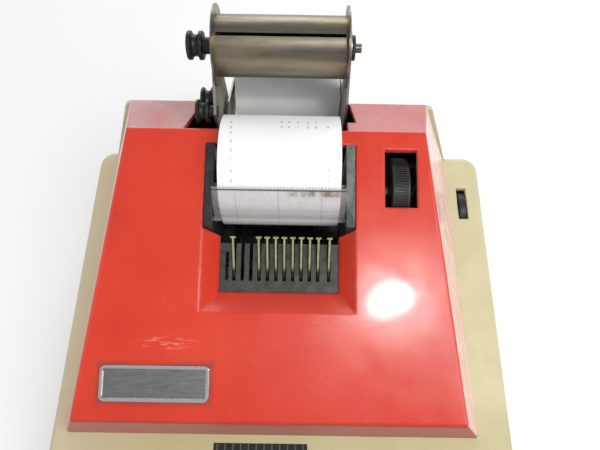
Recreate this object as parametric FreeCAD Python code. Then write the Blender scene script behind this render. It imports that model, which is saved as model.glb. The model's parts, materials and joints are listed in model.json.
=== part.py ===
import FreeCAD
import Part
import math
import os

# A desk-top ticket register with a sloping two-colour case, a paper printer under a raised hood,
# a paper take-up spool on two arms, and a ten-key keyboard in the front deck.
# Lengths are millimetres and angles are degrees.
# The model is built about a datum: the foot of the hood's rear wall, on the hood's middle plane,
# level with the deck. X points right, Y to the rear and Z up. save() moves it all to the table,
# with the origin at the bottom centre of its box.

V = FreeCAD.Vector
X_AXIS = V(1, 0, 0)
Y_AXIS = V(0, 1, 0)
Z_AXIS = V(0, 0, 1)

# Lower case
case_width = 239.0
case_depth = 290.0
deck_height = 68.0
deck_slope = 6.0
foot_height = 5.0
case_wall = 3.0
case_corner = 9.0
case_edge = 3.5
rear_margin = 3.0
base_thickness = 1.5
fit_gap = 0.3
screw_inset = 12.5
boss_radius = 5.0
screw_radius = 1.7
screw_head_radius = 3.4
screw_head_height = 1.8
screw_length = 12.0
foot_radius = 8.0

# Hood over the printer
hood_depth = 162.0
left_shoulder = 11.5
right_shoulder = 21.5
hood_flare = 3.5
hood_draft = 0.43
hood_rear_height = 52.4
fold_back = 30.0
fold_height = 68.7
hood_front_height = 36.0
front_lean = 1.1
hood_wall = 2.5
hood_edge = 2.0
hood_ledge = 7.0

# Printer, across the hood
paper_width = 58.0
paper_middle = 2.5
cheek_gap = 3.2
cheek_thickness = 4.2
cheek_skirt = 12.0
cheek_rise = 1.0
opening_gap = 0.5
print_rear = 36.5
print_front = 76.0
funnel_front = 113.7
funnel_depth = 9.0
funnel_side_run = 7.8
funnel_front_run = 12.2
funnel_wall = 2.0

# Platen and paper
platen_y = -50.0
platen_drop = 27.7
platen_radius = 17.0
platen_shaft_radius = 4.0
running_gap = 0.05
paper_thickness = 0.3
curl_radius = 27.0
curl_rise = 5.5
curl_end = 32.0
wheel_radius = 18.0
wheel_width = 9.0
wheel_middle = 61.5
wheel_ribs = 80
rib_groove = 0.6
wheel_slot_side = 15.9
wheel_slot_length = 27.2

# Clear window with the tear edge
window_clearance = 1.2
window_thickness = 1.0
window_start = 140.0
window_end = 182.0
window_overhang = 2.6
tear_pitch = 1.5
tear_depth = 0.9
window_pin_radius = 1.2

# Comb plate and print hammers
comb_drop = 0.3
comb_thickness = 2.0
comb_rear = 79.0
comb_front = 103.0
column_pitch = 4.12
first_column_x = -19.6
slot_width = 1.7
slot_front = 96.3
digit_columns = 8
empty_slots = 2
symbol_step = 1.3
short_slot_step = 0.85
short_slot_rear = 4.0
hammer_reach = 28.0
hammer_tilt = 50.0
hammer_thickness = 0.9
hammer_root_width = 3.6
hammer_head_width = 2.6
hammer_head_height = 0.7
hammer_head_depth = 0.7
hammer_pivot_y = -97.9
hammer_drop = 4.06
hammer_shaft_radius = 1.6

# Take-up spool, supply roll and their arms
spool_y = 0.0
spool_rise = 22.0
spool_inner = 61.0
flange_radius = 18.8
flange_thickness = 0.8
drum_radius = 14.3
drum_bore = 11.0
drum_slot_angle = 116.0
drum_slot_width = 1.6
spool_shaft_radius = 2.2
arm_thickness = 1.2
arm_gap = 0.4
arm_top_radius = 8.0
arm_front = 26.0
arm_rear = 12.0
arm_foot = -20.0
arm_shoulder_drop = 6.7
arm_knee_drop = 30.7
arm_waist = 16.0
arm_heel = 4.0
lug_setback = 8.0
roll_y = 28.7
roll_drop = 33.6
roll_radius = 26.0
roll_shift = 1.9
holder_gap = 2.3
holder_thickness = 1.0
holder_eye = 6.5
holder_front = -9.0
holder_height = 51.0
holder_depth = 24.0
roll_bore = 6.0
roll_axle_radius = 5.95
pin_radius = 3.0
spool_pulley_radius = 6.65
spool_pulley_width = 7.6
belt_pulley_width = 6.5
idler_radius = 6.6
drive_pulley_radius = 5.8
pulley_groove = 1.9
pulley_boss = 3.9
shaft_end = 3.2
drive_pulley_y = -21.5
pulley_standoff = 2.2
idler_y = -7.5
idler_drop = 7.7
nut_radius = 5.8
nut_thickness = 1.4

# Openings at the rear
rear_open_front = 29.4
rear_open_front_left = -46.0
rear_open_rear_left = -41.0
rear_open_rear_right = 38.4
rear_open_side_right = 40.1
rear_open_side_front = 21.4
rear_open_front_right = 35.6
notch_floor = 10.0
notch_gap = 1.0
cover_thickness = 2.4
cover_gap = 0.6
cover_overhang = 0.6
cover_spread = 1.8
cover_top_drop = 4.0
cover_corner = 5.0
cover_tongue_inset = 11.0
cover_tongue_foot = -46.0

# Mechanism
chassis_thickness = 1.8
chassis_front = 106.0
chassis_rear = 32.0
chassis_drop = 12.5
shelf_rear = 4.0
main_y = -62.0
main_z = -30.0
main_radius = 5.0
gear_module = 1.25
gear_teeth = 40
pinion_teeth = 12
gear_width = 6.0
mesh_angle = 130.0
motor_radius = 22.0
motor_length = 44.0
motor_shaft_radius = 3.0
motor_shaft_inset = 10.0
motor_cap_length = 6.0
motor_cap_step = 2.0
cam_count = 4
cam_pitch = 13.0
cam_radius = 11.0
cam_width = 5.0
cam_offset = 4.0
shaft_overhang = 2.0

# Side wheel in the right shoulder
side_wheel_inset = 12.5
side_wheel_y = -29.6
side_wheel_radius = 12.5
side_wheel_width = 4.6
side_wheel_proud = 1.6
side_axle_radius = 2.0
side_slot_gap = 0.6
lug_thickness = 2.0

# Keyboard
key_pitch = 19.0
key_side = 16.0
key_top_side = 12.6
key_height = 8.5
key_travel = 4.0
key_stem_wide = 6.0
key_stem_thick = 3.0
key_stem_length = 16.0
key_slot_gap = 0.3
keyboard_gap = 31.0
first_key_x = -36.0
function_gap = 3.0
board_margin = 3.5
board_thickness = 2.0
board_lip = 4.0
indicator_left = -30.0
indicator_right = 18.0
indicator_gap = 4.0
indicator_depth = 9.0
indicator_lip = 2.0

# Badge and inlet
badge_width = 50.0
badge_height = 16.0
badge_thickness = 1.4
badge_inset = 50.0
badge_y = -144.5
inlet_inset = 37.0
inlet_z = -26.0
inlet_width = 26.0
inlet_height = 19.0
inlet_depth = 16.0

# Values worked out from the sizes above
hood_sidestep = (right_shoulder - left_shoulder) / 2
hood_rear_half = (case_width - left_shoulder - right_shoulder) / 2
hood_front_half = hood_rear_half + hood_flare
cover_tongue_half = hood_rear_half - cover_tongue_inset
badge_x = badge_inset - hood_rear_half
inlet_x = inlet_inset - hood_rear_half
platen_z = fold_height - platen_drop
spool_z = fold_height + spool_rise
roll_z = fold_height - roll_drop
drive_pulley_z = fold_height
idler_z = fold_height - idler_drop
indicator_rear = hood_depth + indicator_gap
first_row = hood_depth + keyboard_gap
slope_tan = math.tan(math.radians(deck_slope))
face_rise = fold_height - hood_front_height
face_run = hood_depth - front_lean - fold_back
face_tan = slope_tan + face_rise / face_run
face_cos = math.cos(math.atan(face_tan))
case_rear = rear_margin
case_front = rear_margin - case_depth
case_left = hood_sidestep - case_width / 2
case_right = hood_sidestep + case_width / 2
case_foot = foot_height - deck_height
middle_y = (case_front + roll_y + roll_radius) / 2
side_wheel_x = case_right - side_wheel_inset
comb_underside = funnel_depth + comb_drop + comb_thickness
paper_left = paper_middle - paper_width / 2
paper_right = paper_middle + paper_width / 2
left_cheek_inner = paper_left - cheek_gap
right_cheek_inner = paper_right + cheek_gap
left_cheek_outer = left_cheek_inner - cheek_thickness
right_cheek_outer = right_cheek_inner + cheek_thickness
opening_left = left_cheek_outer - opening_gap
opening_right = right_cheek_outer + opening_gap
spool_left = paper_middle - spool_inner / 2
spool_right = paper_middle + spool_inner / 2
arm_left = spool_left - flange_thickness - arm_gap
arm_right = spool_right + flange_thickness + arm_gap
roll_left = paper_left + roll_shift
roll_right = paper_right + roll_shift
holder_left = roll_left - holder_gap
holder_right = arm_right + arm_thickness
pulley_inner = arm_left - arm_thickness - arm_gap
curl_y = platen_y - platen_radius - paper_thickness + curl_radius
curl_z = platen_z + curl_rise
plate_left = left_cheek_outer - chassis_thickness
plate_right = right_cheek_outer + chassis_thickness
gear_radius = gear_module * gear_teeth / 2
pinion_radius = gear_module * pinion_teeth / 2
motor_y = main_y + (gear_radius + pinion_radius) * math.cos(math.radians(mesh_angle))
motor_z = main_z + (gear_radius + pinion_radius) * math.sin(math.radians(mesh_angle))
gear_left = left_cheek_outer + fit_gap
window_left = paper_left - window_overhang
window_right = paper_right + window_overhang
window_radius = curl_radius + paper_thickness + window_clearance
window_pin_reach = window_radius + window_thickness / 2
window_pin_y = curl_y + window_pin_reach * math.cos(math.radians(window_end))
window_pin_z = curl_z + window_pin_reach * math.sin(math.radians(window_end))
key_stand = key_travel + 1.0


def deck(y):
    return y * slope_tan


def face_z(y, depth=0.0):
    """Height of the hood's main face at y, or of a plane that lies depth below it."""
    fold_z = deck(-fold_back) + fold_height
    return fold_z + face_tan * (y + fold_back) - depth / face_cos


hammer_pivot_z = face_z(hammer_pivot_y, comb_underside) - hammer_drop


def save(name, shape):
    shape = shape.copy()
    shape.translate(V(-hood_sidestep, -middle_y, deck_height))
    shape.exportStep("parts/" + name + ".step")


def box(x0, x1, y0, y1, z0, z1):
    return Part.makeBox(x1 - x0, y1 - y0, z1 - z0, V(x0, y0, z0))


def rod(radius, x0, x1, y, z):
    """A cylinder along X."""
    return Part.makeCylinder(radius, x1 - x0, V(x0, y, z), X_AXIS)


def prism_x(points, x0, x1):
    """A solid of one (y, z) outline, from x0 to x1."""
    corners = [V(x0, y, z) for y, z in points]
    wire = Part.makePolygon(corners + corners[:1])
    return Part.Face(wire).extrude(V(x1 - x0, 0, 0))


def prism_z(points, z0, z1):
    """A solid of one (x, y) outline, from z0 to z1."""
    corners = [V(x, y, z0) for x, y in points]
    wire = Part.makePolygon(corners + corners[:1])
    return Part.Face(wire).extrude(V(0, 0, z1 - z0))


def rounded_box(x0, x1, y0, y1, z0, z1, radius):
    block = box(x0, x1, y0, y1, z0, z1)
    upright = [e for e in block.Edges if abs(e.Vertexes[0].Z - e.Vertexes[-1].Z) > 1e-6]
    return block.makeFillet(radius, upright)


def on_deck(shape, x, y):
    """Turns a shape made flat about the origin to the deck's slope and sets it at (x, y)."""
    shape = shape.copy()
    shape.rotate(V(0, 0, 0), X_AXIS, deck_slope)
    shape.translate(V(x, y, deck(y)))
    return shape


def on_face(shape, x, y):
    """The same on the hood's main face."""
    shape = shape.copy()
    shape.rotate(V(0, 0, 0), X_AXIS, math.degrees(math.atan(face_tan)))
    shape.translate(V(x, y, face_z(y)))
    return shape


def shifted_outline(points, shifts):
    """Moves each side of a clockwise outline inward by its own shift."""
    lines = []
    count = len(points)
    for i in range(count):
        (ya, za), (yb, zb) = points[i], points[(i + 1) % count]
        length = math.hypot(yb - ya, zb - za)
        normal = ((zb - za) / length, -(yb - ya) / length)
        level = normal[0] * ya + normal[1] * za + shifts[i]
        lines.append((normal, level))
    corners = []
    for i in range(count):
        (n1, c1), (n2, c2) = lines[i - 1], lines[i]
        det = n1[0] * n2[1] - n1[1] * n2[0]
        corners.append(((c1 * n2[1] - c2 * n1[1]) / det, (n1[0] * c2 - n2[0] * c1) / det))
    return corners


def hood_half(y, z, inset):
    """Half the hood's width at one place of its side."""
    widening = (hood_front_half - hood_rear_half) * (-y / hood_depth)
    narrowing = hood_draft * (z - deck(y))
    return hood_rear_half + widening - narrowing - inset * math.hypot(1, hood_draft)


def hood_form(inset, floor):
    """The hood's five-sided form, with its sides moved in by inset and its foot by floor."""
    profile = [
        (0.0, 0.0),
        (-hood_depth, deck(-hood_depth)),
        (front_lean - hood_depth, deck(front_lean - hood_depth) + hood_front_height),
        (-fold_back, deck(-fold_back) + fold_height),
        (0.0, hood_rear_height),
    ]
    profile = shifted_outline(profile, [floor, inset, inset, inset, inset])
    left = [V(-hood_half(y, z, inset), y, z) for y, z in profile]
    right = [V(hood_half(y, z, inset), y, z) for y, z in profile]
    faces = [Part.Face(Part.makePolygon(side + side[:1])) for side in (left, right)]
    for i in range(len(profile)):
        j = (i + 1) % len(profile)
        band = [left[i], left[j], right[j], right[i]]
        faces.append(Part.Face(Part.makePolygon(band + band[:1])))
    form = Part.Solid(Part.Shell(faces))
    if form.Volume < 0:
        form.reverse()
    return form


def off_the_deck(edge):
    ends = [vertex.Point for vertex in edge.Vertexes]
    return any(abs(p.z - deck(p.y)) > 1e-4 for p in ends)


def funnel_ring(depth, grow):
    """The funnel's outline on the plane that lies depth below the hood's face."""
    share = depth / funnel_depth
    x0 = opening_left + share * funnel_side_run - grow
    x1 = opening_right - share * funnel_side_run + grow
    y0 = -funnel_front + share * funnel_front_run - grow
    y1 = -print_front
    corners = [(x0, y0), (x1, y0), (x1, y1), (x0, y1)]
    points = [V(x, y, face_z(y, depth)) for x, y in corners]
    return Part.makePolygon(points + points[:1])


def funnel_form(top, bottom, grow):
    return Part.makeLoft([funnel_ring(top, grow), funnel_ring(bottom, grow)], True, True)


def rear_opening():
    """The opening in the rear facet, with a notch down the rear wall for the arms and the paper."""
    plan = [
        (rear_open_front_left, -rear_open_front),
        (rear_open_rear_left, -hood_wall),
        (rear_open_rear_right, -hood_wall),
        (rear_open_side_right, -rear_open_side_front),
        (rear_open_front_right, -rear_open_side_front),
        (rear_open_front_right, -rear_open_front),
    ]
    facet = prism_z(plan, notch_floor, 2 * fold_height)
    x0 = arm_left - arm_thickness - notch_gap
    x1 = holder_right + holder_thickness + notch_gap
    return facet.fuse(box(x0, x1, -2 * hood_wall, 2 * roll_radius, notch_floor, 2 * fold_height))


def top_cover():
    form = hood_form(0.0, 0.0)
    form = form.makeFillet(hood_edge, [e for e in form.Edges if off_the_deck(e)])
    shell = form.cut(hood_form(hood_wall, -2 * hood_wall))
    walls = funnel_form(hood_wall / 2, funnel_depth, funnel_wall)
    shell = shell.fuse(walls)
    shell = shell.cut(funnel_form(-hood_wall, funnel_depth + funnel_wall, 0.0))
    shell = shell.cut(box(opening_left, opening_right, -print_front, -print_rear, 0, 2 * fold_height))
    shell = shell.cut(rear_opening())
    slot_x = wheel_middle - wheel_slot_side / 2
    slot_y = platen_y - wheel_slot_length / 2 - 2.0
    slot = box(slot_x, slot_x + wheel_slot_side, slot_y, slot_y + wheel_slot_length, 0, 2 * fold_height)
    shell = shell.cut(slot)
    below = box(-2 * case_width, 2 * case_width, -2 * case_depth, case_depth, -case_depth, 0)
    below.rotate(V(0, 0, 0), X_AXIS, deck_slope)
    return shell.cut(below).removeSplitter()


def case_outline(inset):
    radius = case_corner - inset
    x0, x1 = case_left + inset, case_right - inset
    y0, y1 = case_front + inset, case_rear - inset
    return rounded_box(x0, x1, y0, y1, case_foot, fold_height, radius)


def above_deck(depth):
    """Everything higher than a plane that lies depth under the deck."""
    block = box(-2 * case_width, 2 * case_width, -2 * case_depth, 2 * case_depth, 0, 2 * case_depth)
    block.rotate(V(0, 0, 0), X_AXIS, deck_slope)
    block.translate(V(0, 0, -depth / math.cos(math.radians(deck_slope))))
    return block


def tongue(gap):
    """The lower part of the rear cover, which closes the back of the case."""
    foot = cover_tongue_foot - gap
    half = cover_tongue_half + gap
    return box(-half, half, case_rear - case_wall - 1.0, case_rear + 1.0, foot, 1.0)


def screw_spots():
    x0, x1 = case_left + screw_inset, case_right - screw_inset
    y0, y1 = case_front + screw_inset, case_rear - screw_inset
    return [(x0, y0), (x1, y0), (x0, y1), (x1, y1)]


def keyboard_window(grow, thickness, top):
    """A flat block as wide and deep as the field of keys."""
    x0 = first_key_x - key_side / 2 - board_margin - grow
    x1 = function_x() + key_side / 2 + board_margin + grow
    rear = key_side / 2 + board_margin + grow
    front = -3 * key_pitch - key_side / 2 - board_margin - grow
    return on_deck(box(x0, x1, front, rear, top - thickness, top), 0.0, -first_row)


def function_x():
    return first_key_x + 3 * key_pitch + function_gap


def indicator_block(grow, thickness, top):
    x0, x1 = indicator_left - grow, indicator_right + grow
    return on_deck(box(x0, x1, -indicator_depth - grow, grow, top - thickness, top), 0.0, -indicator_rear)


def side_wheel_z():
    return deck(side_wheel_y) + side_wheel_proud - side_wheel_radius


def lower_case():
    form = case_outline(0.0).cut(above_deck(0.0))
    rim = []
    for edge in form.Edges:
        if all(abs(v.Z - deck(v.Y)) < 1e-4 for v in edge.Vertexes):
            rim.append(edge)
    form = form.makeFillet(case_edge, rim)
    inner = case_outline(case_wall)
    inner.translate(V(0, 0, -case_wall))
    inner = inner.cut(above_deck(case_wall))
    shell = form.cut(inner)
    for x, y in screw_spots():
        top = deck(y) - case_wall / 2
        foot = case_foot + base_thickness
        boss = Part.makeCylinder(boss_radius, top - foot, V(x, y, foot), Z_AXIS)
        hole = Part.makeCylinder(screw_radius, screw_length, V(x, y, foot), Z_AXIS)
        shell = shell.fuse(boss).cut(hole)
    half_rear = hood_rear_half - hood_ledge
    half_front = hood_front_half - hood_ledge
    plan = [
        (-half_rear, -hood_ledge),
        (half_rear, -hood_ledge),
        (half_front, hood_ledge - hood_depth),
        (-half_front, hood_ledge - hood_depth),
    ]
    shell = shell.cut(prism_z(plan, deck(-hood_depth) - 2 * case_wall, fold_height))
    shell = shell.cut(keyboard_window(0.0, 4 * case_wall, 2 * case_wall))
    shell = shell.cut(indicator_block(0.0, 4 * case_wall, 2 * case_wall))
    shell = shell.cut(tongue(fit_gap))
    arm_space = max(-arm_left, arm_right) + 2 * arm_thickness + arm_gap
    shell = shell.cut(box(-arm_space, arm_space, -hood_ledge - 1, 1.0, -2 * case_wall, fold_height))
    lug_reach = side_wheel_width / 2 + side_slot_gap
    for side in (-1, 1):
        x0 = side_wheel_x + side * (lug_reach + lug_thickness / 2) - lug_thickness / 2
        y0 = side_wheel_y - 3 * side_axle_radius
        z0 = side_wheel_z() - 3 * side_axle_radius
        lug = box(x0, x0 + lug_thickness, y0, y0 + 6 * side_axle_radius, z0, deck(y0) - case_wall / 2)
        shell = shell.fuse(lug)
    shell = shell.cut(side_wheel_slot())
    bore = rod(side_axle_radius + running_gap, side_wheel_x - 9, side_wheel_x + 9, side_wheel_y, side_wheel_z())
    return shell.cut(bore).removeSplitter()


def side_wheel_slot():
    """A square slot in the deck, relieved below by the wheel's own round path."""
    reach = math.sqrt(side_wheel_radius ** 2 - (side_wheel_radius - side_wheel_proud - case_wall) ** 2)
    half_length = reach + side_slot_gap
    half_width = side_wheel_width / 2 + side_slot_gap
    x0, x1 = side_wheel_x - half_width, side_wheel_x + half_width
    y0, y1 = side_wheel_y - half_length, side_wheel_y + half_length
    z0 = deck(side_wheel_y) - 2 * case_wall
    path = rod(side_wheel_radius + side_slot_gap, x0, x1, side_wheel_y, side_wheel_z())
    return box(x0, x1, y0, y1, z0, fold_height).fuse(path)


def side_wheel():
    z = side_wheel_z()
    half = side_wheel_width / 2
    disc = rod(side_wheel_radius, side_wheel_x - half, side_wheel_x + half, side_wheel_y, z)
    disc = disc.makeFillet(0.8, [e for e in disc.Edges if e.Length > 6 * side_wheel_radius])
    reach = half + side_slot_gap + lug_thickness + fit_gap
    axle = rod(side_axle_radius, side_wheel_x - reach, side_wheel_x + reach, side_wheel_y, z)
    return disc.fuse(axle).removeSplitter()


def base_plate():
    inset = case_wall + fit_gap
    plate = rounded_box(case_left + inset, case_right - inset, case_front + inset, case_rear - inset,
                        case_foot, case_foot + base_thickness, case_corner - inset)
    for x, y in screw_spots():
        plate = plate.cut(Part.makeCylinder(screw_radius + fit_gap, 4, V(x, y, case_foot - 1), Z_AXIS))
    return plate


def case_screws():
    screws = []
    for x, y in screw_spots():
        head = Part.makeCylinder(screw_head_radius, screw_head_height, V(x, y, case_foot - screw_head_height))
        shank = Part.makeCylinder(screw_radius, screw_length, V(x, y, case_foot - 0.1))
        screws.append(head.fuse(shank).removeSplitter())
    return Part.Compound(screws)


def feet():
    pads = []
    step = 2.4 * foot_radius
    for x, y in screw_spots():
        inward = step if y < case_front + case_depth / 2 else -step
        pad = Part.makeCylinder(foot_radius, foot_height, V(x, y + inward, -deck_height))
        pads.append(pad.makeFillet(1.0, [pad.Edges[0]]))
    return Part.Compound(pads)


def rear_cover():
    y0 = cover_gap
    y1 = cover_gap + cover_thickness
    top = hood_rear_height - cover_top_drop
    half_foot = hood_rear_half + cover_overhang
    half_top = half_foot + cover_spread - hood_draft * top
    corners = [(-half_foot, 0.0), (half_foot, 0.0), (half_top, top), (-half_top, top)]
    points = [V(x, y0, z) for x, z in corners]
    plate = Part.Face(Part.makePolygon(points + points[:1])).extrude(V(0, y1 - y0, 0))
    crest = [e for e in plate.Edges if abs(e.Vertexes[0].Y - e.Vertexes[-1].Y) > 1 and e.Vertexes[0].Z > 1]
    plate = plate.makeFillet(cover_corner, crest)
    half = cover_tongue_half
    plate = plate.fuse(box(-half, half, y0, y1, cover_tongue_foot, 0.0))
    plate = plate.cut(rear_opening())
    plate = plate.cut(inlet_block(fit_gap, y0 - 1, y1 + 1))
    return plate.removeSplitter()


def inlet_block(grow, y0, y1):
    x0, x1 = inlet_x - inlet_width / 2 - grow, inlet_x + inlet_width / 2 + grow
    z0, z1 = inlet_z - inlet_height / 2 - grow, inlet_z + inlet_height / 2 + grow
    return box(x0, x1, y0, y1, z0, z1)


def power_inlet():
    front = cover_gap - inlet_depth
    rear = cover_gap + cover_thickness
    body = inlet_block(0.0, front, rear)
    body = body.fuse(inlet_block(2.5, front + 6, cover_gap))
    body = body.cut(inlet_block(-2.5, front + 4, rear + 1))
    for side in (-1, 1):
        blade = Part.makeCylinder(2.0, inlet_depth - 2, V(inlet_x + side * 4.5, front + 3, inlet_z), Y_AXIS)
        body = body.fuse(blade)
    return body.removeSplitter()


def badge_plate():
    half_w, half_h = badge_width / 2, badge_height / 2
    plate = rounded_box(-half_w, half_w, -half_h, half_h, 0, badge_thickness, 2.5)
    field = rounded_box(1.4 - half_w, half_w - 1.4, 1.4 - half_h, half_h - 1.4,
                        badge_thickness - 0.5, badge_thickness + 1, 1.4)
    return on_face(plate.cut(field), badge_x, badge_y)


def cheek(outer, inner):
    """A side wall of the print unit, with a foot that carries the comb plate."""
    proud = -cheek_rise
    rear = opening_gap - print_front
    foot = platen_z - platen_radius - cheek_skirt
    profile = [
        (-print_rear - opening_gap, foot),
        (-print_rear - opening_gap, face_z(-print_rear - opening_gap, proud)),
        (rear, face_z(rear, proud)),
        (rear, face_z(rear, comb_underside)),
        (-comb_front, face_z(-comb_front, comb_underside)),
        (-comb_front, foot),
    ]
    wall = prism_x(profile, min(outer, inner), max(outer, inner))
    for y, z, radius in (
        (platen_y, platen_z, platen_shaft_radius + running_gap),
        (window_pin_y, window_pin_z, window_pin_radius + running_gap),
        (hammer_pivot_y, hammer_pivot_z, hammer_shaft_radius),
    ):
        wall = wall.cut(rod(radius, min(outer, inner) - 1, max(outer, inner) + 1, y, z))
    return wall


def comb_plate():
    top = funnel_depth + comb_drop
    low = comb_underside
    profile = [
        (-comb_rear, face_z(-comb_rear, top)),
        (-comb_front, face_z(-comb_front, top)),
        (-comb_front, face_z(-comb_front, low)),
        (-comb_rear, face_z(-comb_rear, low)),
    ]
    plate = prism_x(profile, left_cheek_outer, right_cheek_outer)
    for x in column_places() + empty_columns():
        half = slot_width / 2
        plate = plate.cut(box(x - half, x + half, -slot_front, 0, 0, fold_height))
    short_x = first_column_x - short_slot_step * column_pitch
    half = slot_width / 2
    short_rear = comb_rear + short_slot_rear
    return plate.cut(box(short_x - half, short_x + half, -slot_front, -short_rear, 0, fold_height))


def column_places():
    """X of each print column that has a hammer: one symbol column, eight digits, one symbol column."""
    places = [first_column_x]
    for k in range(digit_columns):
        places.append(first_column_x + (1 + empty_slots + k) * column_pitch)
    places.append(places[-1] + symbol_step * column_pitch)
    return places


def empty_columns():
    return [first_column_x + (1 + k) * column_pitch for k in range(empty_slots)]


def print_hammer(x):
    """A flat lever on the hammer shaft, with a narrow tapered pin and a T-shaped head."""
    half = hammer_thickness / 2
    root = Part.makeCylinder(hammer_root_width, hammer_thickness, V(x - half, 0, 0), X_AXIS)
    blade = prism_x([(-1.6, 0), (1.6, 0), (0.5, hammer_reach - 8), (0.35, hammer_reach),
                     (-0.35, hammer_reach), (-0.5, hammer_reach - 8)], x - half, x + half)
    head_half = hammer_head_width / 2
    depth_half = hammer_head_depth / 2
    head = box(x - head_half, x + head_half, -depth_half, depth_half,
               hammer_reach - hammer_head_height / 2, hammer_reach + hammer_head_height / 2)
    lever = root.fuse(blade).fuse(head)
    lever = lever.cut(rod(hammer_shaft_radius + running_gap, x - 2, x + 2, 0, 0)).removeSplitter()
    lever.rotate(V(0, 0, 0), X_AXIS, hammer_tilt - 90.0)
    lever.translate(V(0, hammer_pivot_y, hammer_pivot_z))
    return lever


def hammer_shaft():
    return rod(hammer_shaft_radius, plate_left, plate_right, hammer_pivot_y, hammer_pivot_z)


def ring_sector(y, z, inner, outer, start, end, x0, x1):
    """Part of a tube along X, from one angle to another, counted from +Y towards +Z."""
    def spot(radius, angle):
        turn = math.radians(angle)
        return V(x0, y + radius * math.cos(turn), z + radius * math.sin(turn))
    middle = (start + end) / 2
    edges = [
        Part.Arc(spot(outer, start), spot(outer, middle), spot(outer, end)).toShape(),
        Part.LineSegment(spot(outer, end), spot(inner, end)).toShape(),
        Part.Arc(spot(inner, end), spot(inner, middle), spot(inner, start)).toShape(),
        Part.LineSegment(spot(inner, start), spot(outer, start)).toShape(),
    ]
    return Part.Face(Part.Wire(edges)).extrude(V(x1 - x0, 0, 0))


def paper_tape():
    """The strip from the bottom of the supply roll, round the platen, up and over in its own curl."""
    x0, x1 = paper_left, paper_right
    inner = platen_radius + fit_gap
    outer = inner + paper_thickness
    roll_reach = roll_radius + fit_gap
    dy, dz = roll_y - platen_y, roll_z - platen_z
    lean = math.degrees(math.atan2(dz, dy) - math.asin((roll_reach - inner) / math.hypot(dy, dz)))
    leave = 270.0 + lean
    turn = math.radians(leave)
    wrap = ring_sector(platen_y, platen_z, inner, outer, 180.0, leave, x0, x1)
    def at(y, z, radius):
        return (y + radius * math.cos(turn), z + radius * math.sin(turn))
    feed = prism_x([at(platen_y, platen_z, inner), at(platen_y, platen_z, outer),
                    at(roll_y, roll_z, roll_reach + paper_thickness), at(roll_y, roll_z, roll_reach)], x0, x1)
    face = platen_y - inner
    rise = box(x0, x1, face - paper_thickness, face, platen_z, curl_z)
    curl_middle = face + curl_radius
    curl = ring_sector(curl_middle, curl_z, curl_radius, curl_radius + paper_thickness, curl_end, 180.0, x0, x1)
    return wrap.fuse(feed).fuse(rise).fuse(curl).removeSplitter()


def paper_window():
    """A curved clear strip before the paper, with a saw-toothed upper edge and two pivot pins."""
    inner = window_radius
    outer = inner + window_thickness
    strip = ring_sector(curl_y, curl_z, inner, outer, window_start, window_end, window_left, window_right)
    count = int((window_right - window_left) / tear_pitch)
    first = (window_left + window_right - count * tear_pitch) / 2
    saw = [V(first, 0, -1.0)]
    for i in range(count):
        saw.append(V(first + i * tear_pitch, 0, tear_depth))
        saw.append(V(first + (i + 0.5) * tear_pitch, 0, 0))
    saw.append(V(first + count * tear_pitch, 0, tear_depth))
    saw.append(V(first + count * tear_pitch, 0, -1.0))
    teeth = Part.Face(Part.makePolygon(saw + saw[:1])).extrude(V(0, 6, 0))
    teeth.translate(V(0, inner - 2, 0))
    teeth.rotate(V(0, 0, 0), X_AXIS, window_start)
    teeth.translate(V(0, curl_y, curl_z))
    strip = strip.cut(teeth)
    pin_y, pin_z = window_pin_y, window_pin_z
    rail = rod(window_pin_radius, left_cheek_outer, right_cheek_outer, pin_y, pin_z)
    return strip.fuse(rail).removeSplitter()


def platen_roller():
    roller = rod(platen_radius, paper_left, paper_right, platen_y, platen_z)
    return roller.cut(rod(platen_shaft_radius, paper_left - 1, paper_right + 1, platen_y, platen_z))


def platen_shaft():
    right_end = wheel_middle + wheel_width / 2 + shaft_overhang
    return rod(platen_shaft_radius, plate_left - shaft_overhang, right_end, platen_y, platen_z)


def ribbed_wheel():
    x0 = wheel_middle - wheel_width / 2
    wheel = rod(wheel_radius, x0, x0 + wheel_width, platen_y, platen_z)
    wheel = wheel.makeFillet(0.9, [e for e in wheel.Edges if e.Length > 6 * wheel_radius])
    wheel = wheel.cut(rod(platen_shaft_radius, x0 - 1, x0 + wheel_width + 1, platen_y, platen_z))
    grooves = []
    for i in range(wheel_ribs):
        groove = box(x0 + 1.6, x0 + wheel_width - 1.6, -rib_groove / 2, rib_groove / 2,
                     wheel_radius - 0.9, wheel_radius + 1)
        groove.rotate(V(0, 0, 0), X_AXIS, i * 360.0 / wheel_ribs)
        groove.translate(V(0, platen_y, platen_z))
        grooves.append(groove)
    return wheel.cut(grooves)


def arm(x0, lug_front):
    """A steel side arm from its foot on the shelf to the spool's shaft."""
    top = arm_top_radius
    profile = [
        (-lug_front, arm_foot),
        (-lug_front, drive_pulley_z + pin_radius),
        (spool_y - top, spool_z),
        (spool_y + top, spool_z),
        (spool_y + top, fold_height - arm_shoulder_drop),
        (arm_rear, fold_height - arm_knee_drop),
        (arm_rear, notch_floor + arm_waist),
        (-shelf_rear - hood_wall, notch_floor + arm_heel),
        (-shelf_rear - hood_wall, arm_foot),
    ]
    plate = prism_x(profile, x0, x0 + arm_thickness)
    plate = plate.fuse(rod(top, x0, x0 + arm_thickness, spool_y, spool_z))
    return plate.cut(rod(spool_shaft_radius + running_gap, x0 - 1, x0 + 3, spool_y, spool_z))


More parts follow.
